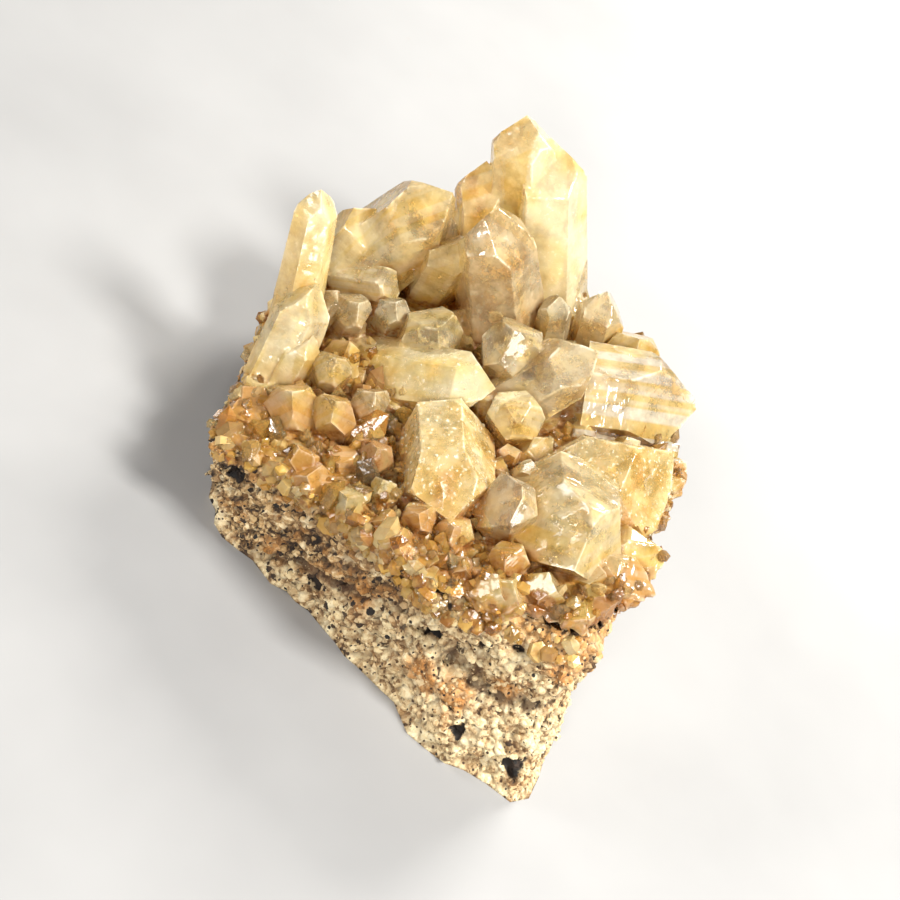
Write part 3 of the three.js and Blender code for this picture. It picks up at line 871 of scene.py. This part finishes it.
def grain_piece(rock):
    """Grains that stand out of the rock's sides, but not in its pits and creases."""
    heap = Gathered(seed=25)
    rng = heap.rng
    corners, faces = grain_shape()

    def on_side(middle, normal):
        points = plan(middle)
        return (points[:, 2] > 0.5) & (above_ground(points) < -0.2) & (normal[:, 2] < 0.8)

    places, normals = samples_on(rock.data, GRAIN_COUNT, rng, on_side)
    places = places / MM
    free = (round_spots(places, PITS, 0.0) < 0.1) & (crease_depth(places) < 0.85)
    places, normals = places[free], normals[free]
    _, _, tones = cell_values(places, ROCK_GRAIN, seed=3)
    for place, normal, dark, tone in zip(places, normals, dark_share(places), tones):
        size = 0.13 + 0.55 * rng.random() ** 4
        uneven = rng.uniform(0.7, 1.0, (len(corners), 1))
        local = corners * size * uneven * rng.uniform(0.65, 1.2, 3)
        turn = basis(normal + rng.normal(size=3) * 0.5, rng.uniform(0, 6))
        middle = place - 0.25 * size * normal
        own_tone = 0.15 + 0.45 * tone + 0.4 * rng.random()
        heap.put((local @ turn.T + middle) * MM, faces, own_tone, dark)
    return heap.piece("rock_grains", "matrix_rock", ("tone", "dark"))


# ---- materials ----


class Nodes:
    """A material's node tree, with short ways to add and join nodes."""

    def __init__(self, name):
        self.material = bpy.data.materials.new(name)
        self.material.use_nodes = True
        self.tree = self.material.node_tree
        self.tree.nodes.clear()
        self.output = self.add("ShaderNodeOutputMaterial")

    def add(self, kind, **values):
        """A new node, with its inputs or settings given by name."""
        node = self.tree.nodes.new(kind)
        for key, value in values.items():
            if key in node.inputs:
                self.put(node.inputs[key], value)
            else:
                setattr(node, key, value)
        return node

    def put(self, socket, value):
        """Links a socket to another one, or sets it to a number or a colour."""
        if isinstance(value, bpy.types.NodeSocket):
            self.tree.links.new(value, socket)
        elif isinstance(value, tuple) and len(value) == 3 and socket.type == "RGBA":
            socket.default_value = (*value, 1)
        else:
            socket.default_value = value

    def surface(self, **settings):
        """Adds the principled shader and makes it the material's surface."""
        shader = self.add("ShaderNodeBsdfPrincipled", **settings)
        self.put(self.output.inputs["Surface"], shader.outputs[0])
        return shader

    def value(self, name):
        """A number that give() stored on the mesh."""
        return self.add("ShaderNodeAttribute", attribute_name=name).outputs["Fac"]

    def math(self, operation, a, b=0.0, clamp=False):
        node = self.add("ShaderNodeMath", operation=operation, use_clamp=clamp)
        self.put(node.inputs[0], a)
        self.put(node.inputs[1], b)
        return node.outputs[0]

    def plus(self, a, b, clamp=False):
        return self.math("ADD", a, b, clamp)

    def minus(self, a, b, clamp=False):
        return self.math("SUBTRACT", a, b, clamp)

    def times(self, a, b, clamp=False):
        return self.math("MULTIPLY", a, b, clamp)

    def swing(self, value, amount):
        """A value from 0 to 1 turned into one that swings round 0 by half the amount."""
        return self.times(self.minus(value, 0.5), amount)

    def mix(self, share, a, b):
        node = self.add("ShaderNodeMix", data_type="RGBA", clamp_factor=True)
        self.put(node.inputs[0], share)
        self.put(node.inputs[6], a)
        self.put(node.inputs[7], b)
        return node.outputs[2]

    def place(self):
        return self.add("ShaderNodeTexCoord").outputs["Object"]

    def noise(self, scale, detail=3.0, rough=0.5):
        node = self.add("ShaderNodeTexNoise", Scale=scale, Detail=detail, Roughness=rough)
        self.put(node.inputs["Vector"], self.place())
        return node.outputs["Fac"]

    def lines(self, name, scale):
        """Noise that changes only with one of the mesh's values, for lines and bands."""
        node = self.add("ShaderNodeTexNoise", noise_dimensions="1D", Scale=1.0, Detail=1.0)
        self.put(node.inputs["W"], self.times(self.value(name), scale))
        return node.outputs["Fac"]

    def cells(self, scale):
        """Distance to the nearest cell's centre, and a number from 0 to 1 for each cell."""
        node = self.add("ShaderNodeTexVoronoi", Scale=scale)
        self.put(node.inputs["Vector"], self.place())
        split = self.add("ShaderNodeSeparateColor")
        self.put(split.inputs[0], node.outputs["Color"])
        return node.outputs["Distance"], split.outputs[0]

    def ramp(self, value, *stops):
        """Turns a value into the greys or colours at stops along the way from 0 to 1."""
        node = self.add("ShaderNodeValToRGB")
        self.put(node.inputs[0], value)
        elements = node.color_ramp.elements
        while len(elements) < len(stops):
            elements.new(0.5)
        for element, (at, colour) in zip(elements, stops):
            element.position = at
            grey = isinstance(colour, (int, float))
            element.color = (colour, colour, colour, 1) if grey else (*colour, 1)
        return node.outputs["Color"]

    def bump(self, height, distance, strength=1.0, normal=None):
        """A bumpy normal, distance mm deep, on top of another one if that is given."""
        node = self.add("ShaderNodeBump", Strength=strength, Distance=distance * MM)
        self.put(node.inputs["Height"], height)
        if normal is not None:
            self.put(node.inputs["Normal"], normal)
        return node.outputs["Normal"]


def quartz_colour(n, mist, frost_and_glint_fleck, chips_and_edge_highlight, rust, striped):
    """Golden where amber is high, with smoke, mist, growth bands, white flecks that are partly frost
    and partly painted glints, chipped edges with a painted highlight, and rust that is partly
    painted shade in crevices.
    """
    warmth = n.swing(n.noise(130.0, 3.0, 0.6), 2.2)
    colour = n.ramp(n.plus(n.value("amber"), warmth, True), *QUARTZ_GOLDS)
    colour = n.mix(n.value("smoke"), colour, SMOKE)
    colour = n.mix(n.times(mist, 0.25), colour, MIST)
    bands = n.value("bands")
    colour = n.mix(n.times(bands, 0.5), colour, BAND_DARK)
    colour = n.mix(n.times(n.times(bands, striped), 0.9), colour, BAND_PALE)
    colour = n.mix(frost_and_glint_fleck, colour, FROST_AND_GLINT)
    colour = n.mix(n.times(chips_and_edge_highlight, 0.5), colour, CHIP_AND_EDGE_HIGHLIGHT)
    return n.mix(rust, colour, QUARTZ_RUST_AND_SHADE)


def quartz_normal(n, stripes, frost):
    """Facets, growth lines, steps, bands and grain, the grain stronger where it is frosted."""
    facets = n.add("ShaderNodeTexVoronoi", distance="CHEBYCHEV", Scale=400.0)
    n.put(facets.inputs["Vector"], n.place())
    relief = n.bump(facets.outputs["Distance"], 0.2, 0.5)
    relief = n.bump(n.lines("along", 24.0), 0.1, 0.3, relief)
    steps = n.times(n.noise(330.0, 2.0), 9.0)
    relief = n.bump(n.math("FLOOR", steps), 0.05, 0.5, relief)
    relief = n.bump(stripes, 0.08, 0.25, relief)
    grain = n.bump(n.noise(1500.0, 2.0, 0.75), 0.12, 0.3, relief)
    n.put(grain.node.inputs["Strength"], n.plus(n.times(frost, 0.6), 0.08))
    return grain


def quartz_material():
    """Clear golden quartz, see-through where it isn't cloudy, frosted, flecked with painted glints,
    chipped and painted with highlights along its edges, or stained with rust and painted shade.
    """
    n = Nodes("golden_quartz")
    mist = n.ramp(n.noise(240.0, 4.0, 0.65), (0.36, 0.0), (0.64, 1.0))
    patch = n.noise(480.0, 4.0, 0.7)
    frost = n.times(n.value("frost"), n.ramp(patch, (0.4, 0.2), (0.6, 1.0)), True)
    # White flecks on frosted faces: partly frost and partly painted glints of light.
    frost_and_glint_fleck = n.times(n.ramp(n.noise(1900.0, 2.0, 0.6), (0.6, 0.0), (0.68, 1.0)), frost)
    # Pale along outward edges: partly chips, partly a painted highlight.
    chips_and_edge_highlight = n.times(n.value("edge"), n.ramp(patch, (0.42, 0.0), (0.58, 1.0)))
    rust = n.times(n.value("rust"), n.ramp(patch, (0.35, 0.3), (0.6, 1.0)), True)
    stripes = n.lines("aside", 6.0)
    striped = n.ramp(stripes, (0.47, 0.0), (0.53, 1.0))
    cloud = n.plus(n.value("cloud"), n.swing(mist, 0.5), True)
    through = n.minus(1.0, n.times(cloud, 0.55), True)
    for blocker, amount in ((frost_and_glint_fleck, 0.8), (rust, 0.8), (chips_and_edge_highlight, 0.6)):
        through = n.times(through, n.minus(1.0, n.times(blocker, amount)), True)
    rough = n.plus(n.plus(n.times(frost, 0.5), n.times(mist, 0.05), True), 0.03, True)
    shader = n.surface(IOR=QUARTZ_IOR)
    n.put(shader.inputs["Base Color"], quartz_colour(n, mist, frost_and_glint_fleck, chips_and_edge_highlight, rust, striped))
    n.put(shader.inputs["Roughness"], rough)
    n.put(shader.inputs["Transmission Weight"], through)
    n.put(shader.inputs["Normal"], quartz_normal(n, stripes, frost))
    absorb = n.add("ShaderNodeVolumeAbsorption", Density=ABSORB_DENSITY)
    n.put(absorb.inputs["Color"], ABSORB_COLOUR)
    n.put(n.output.inputs["Volume"], absorb.outputs[0])
    return n.material


def small_quartz_material(name, cloudiness):
    """Quartz of the small crystals, cloudier and more stained than the large ones."""
    n = Nodes(name)
    wisp = n.noise(900.0, 2.0, 0.6)
    colour = n.ramp(n.plus(n.value("amber"), n.swing(wisp, 0.5), True), *SMALL_GOLDS)
    colour = n.mix(n.value("smoke"), colour, SMALL_SMOKE)
    rust = n.times(n.value("rust"), n.ramp(wisp, (0.35, 0.0), (0.6, 1.0)), True)
    shader = n.surface(IOR=QUARTZ_IOR, Roughness=0.2)
    n.put(shader.inputs["Base Color"], n.mix(rust, colour, SMALL_RUST))
    through = n.minus(1.0, n.times(n.value("cloud"), cloudiness), True)
    n.put(shader.inputs["Transmission Weight"], through)
    n.put(shader.inputs["Normal"], n.bump(n.noise(1500.0, 1.0, 0.7), 0.15, 0.6))
    return n.material


def veil_material():
    """Lacy sheets of tiny flaws, white to golden."""
    n = Nodes("healed_fracture")
    shader = n.surface(Roughness=0.25)
    n.put(shader.inputs["Base Color"], n.ramp(n.value("tone"), *VEIL_COLOURS))
    n.put(shader.inputs["Alpha"], n.ramp(n.noise(700.0, 2.0, 0.7), (0.42, 0.0), (0.6, 0.75)))
    return n.material


def rock_colour(n, tone, dark):
    """Cream, tan, grey, rust and black grains, more of the dark ones in the dark zone."""
    return n.mix(dark, n.ramp(tone, *PALE_ROCK), n.ramp(tone, *DARK_ROCK))


def rock_tone(n, fine, grain_tone):
    """How light each place on the rock is, from its grains, its patches and fine noise."""
    _, patch_tone = n.cells(800.0)
    broad = n.noise(380.0, 3.0, 0.6)
    mixed = n.times(grain_tone, 0.22)
    for part, share in ((patch_tone, 0.13), (n.value("tone"), 0.2), (fine, 0.35), (broad, 0.5)):
        mixed = n.plus(mixed, n.times(part, share))
    return n.ramp(mixed, (0.5, 0.0), (0.86, 1.0))


def stained_rock(n, colour, fine, dark):
    """Adds rust: in patches, in the stains of the front, and where the quartz begins."""
    reddish = n.ramp(n.noise(330.0, 4.0, 0.65), (0.5, 0.0), (0.62, 1.0))
    rustiness = n.times(reddish, n.plus(n.times(dark, 0.4), 0.25))
    colour = n.mix(rustiness, colour, ROCK_RUST)
    stain = n.times(n.value("stain"), n.ramp(fine, (0.35, 0.35), (0.6, 0.9)))
    colour = n.mix(stain, colour, ROCK_STAIN)
    orange = n.times(n.value("contact"), n.ramp(fine, (0.35, 0.3), (0.6, 0.9)))
    return n.mix(orange, colour, ROCK_ORANGE)


def speckled_rock(n, colour, fine):
    """Adds black specks, more of them where the rock is peppered, and small pores painted dark as
    shade.
    """
    edge, tone = n.cells(900.0)
    radius = n.minus(n.times(tone, n.plus(n.times(n.value("pepper"), 0.28), 0.3)), 0.1)
    speck = n.math("LESS_THAN", n.plus(edge, n.swing(fine, 0.5)), radius)
    colour = n.mix(speck, colour, SPECK)
    edge, tone = n.cells(1500.0)
    pore = n.math("LESS_THAN", edge, n.minus(n.times(tone, 0.55), 0.22))
    return n.mix(pore, colour, PORE_SHADE)


def rock_with_painted_shade(n, colour, fine):
    """Paints shade into the gaps between grains, the creases, the pits and all that is shut in."""
    colour = n.mix(n.times(n.value("gap"), 0.55), colour, GAP_SHADE)
    ragged = n.swing(fine, 0.9)
    crease = n.ramp(n.plus(n.value("crease"), ragged), (0.25, 0.0), (0.6, 0.8))
    colour = n.mix(crease, colour, CREASE_SHADE)
    pit = n.ramp(n.plus(n.value("pit"), ragged), (0.3, 0.0), (0.5, 1.0))
    colour = n.mix(pit, colour, PIT_SHADE)
    return n.mix(n.ramp(n.value("shut"), (0.08, 0.0), (0.6, 0.85)), colour, SHUT_IN_SHADE)


def rock_material():
    """Granular rock, pale below and dark above, with stains and specks, and with painted shade in its
    pores, pits, creases, grain gaps and shut-in places.
    """
    n = Nodes("granular_rock")
    grain_edge, grain_tone = n.cells(2000.0)
    fine = n.noise(2600.0, 4.0, 0.7)
    dark = n.value("dark")
    colour = rock_colour(n, rock_tone(n, fine, grain_tone), dark)
    colour = stained_rock(n, colour, fine, dark)
    colour = speckled_rock(n, colour, fine)
    relief = n.bump(n.minus(1.0, grain_edge), 0.2, 0.8)
    relief = n.bump(n.noise(2600.0, 3.0, 0.7), 0.25, 0.7, relief)
    shader = n.surface(Roughness=0.8)
    n.put(shader.inputs["Base Color"], rock_with_painted_shade(n, colour, fine))
    n.put(shader.inputs["Normal"], relief)
    return n.material


def grain_material():
    """Loose grains, in the colours of the rock that they stand on."""
    n = Nodes("rock_grain")
    fine = n.noise(3000.0, 2.0)
    tone = n.plus(n.times(n.value("tone"), 0.7), n.times(fine, 0.3), True)
    shader = n.surface(Roughness=0.7)
    n.put(shader.inputs["Base Color"], rock_colour(n, tone, n.value("dark")))
    n.put(shader.inputs["Normal"], n.bump(fine, 0.1, 0.5))
    return n.material


def floor_material():
    n = Nodes("pale_floor")
    shader = n.surface(Roughness=0.6)
    n.put(shader.inputs["Base Color"], n.ramp(n.noise(40.0), (0.3, 0.28), (0.7, 0.31)))
    return n.material


# ---- stage, light and camera ----


def set_stage():
    """A wide floor, at the height that the part stands on."""
    corners = [(-2, -2, 0), (2, -2, 0), (2, 2, 0), (-2, 2, 0)]
    floor = new_piece("floor", (corners, [], [(0, 1, 2, 3)]))
    floor.data.materials.append(floor_material())


def set_light():
    """A dim warm world, and square lamps round the part that all face it."""
    world = bpy.data.worlds.new("studio")
    bpy.context.scene.world = world
    world.use_nodes = True
    background = world.node_tree.nodes["Background"]
    background.inputs["Color"].default_value = (*WORLD_COLOUR, 1)
    background.inputs["Strength"].default_value = WORLD_STRENGTH
    for name, place, size, power, colour in LAMPS:
        data = bpy.data.lights.new(name, "AREA")
        data.energy, data.size, data.color = power, size, colour
        lamp = bpy.data.objects.new(name, data)
        lamp.location = place
        lamp.rotation_euler = (-Vector(place)).to_track_quat("-Z", "Y").to_euler()
        bpy.context.scene.collection.objects.link(lamp)


def set_camera():
    """A camera in the photograph's place: in front, above, and rolled about its own axis."""
    elevation, roll = math.radians(CAMERA_ELEVATION), math.radians(CAMERA_ROLL)
    target = (Vector(CAMERA_TARGET) - Vector(ORIGIN)) * MM
    forward = Vector((0, math.cos(elevation), -math.sin(elevation)))
    right = Vector((1, 0, 0))
    up = Vector((0, math.sin(elevation), math.cos(elevation)))
    x = math.cos(roll) * right + math.sin(roll) * up
    y = -math.sin(roll) * right + math.cos(roll) * up
    data = bpy.data.cameras.new("camera")
    data.lens, data.sensor_width, data.clip_start = CAMERA_LENS, 36, 0.01
    camera = bpy.data.objects.new("camera", data)
    turn = Matrix((x, y, -forward)).transposed().to_4x4()
    camera.matrix_world = Matrix.Translation(target - CAMERA_DISTANCE * forward) @ turn
    bpy.context.scene.collection.objects.link(camera)
    bpy.context.scene.camera = camera


def build():
    """All the pieces, each with its material."""
    quartz = quartz_piece()
    cad_quartz, cad_rock = (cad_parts[n].data for n in ("quartz_crystals", "rock_matrix"))
    quartz_tree, whole_tree = tree_of(cad_quartz), tree_of(cad_quartz, cad_rock)
    druse = druse_piece(quartz_tree)
    contact = contact_piece(whole_tree)
    sugar = sugar_piece(quartz)
    veils = veil_piece()
    rock = rock_piece()
    grains = grain_piece(rock)
    for piece, material in (
        (quartz, quartz_material()),
        (druse, small_quartz_material("druse_quartz", 0.6)),
        (contact, small_quartz_material("contact_quartz", 0.95)),
        (sugar, small_quartz_material("sugar_quartz", 0.9)),
        (veils, veil_material()),
        (rock, rock_material()),
        (grains, grain_material()),
    ):
        piece.data.materials.append(material)


build()
set_stage()
set_light()
set_camera()
bpy.context.scene.view_settings.view_transform = "Standard"
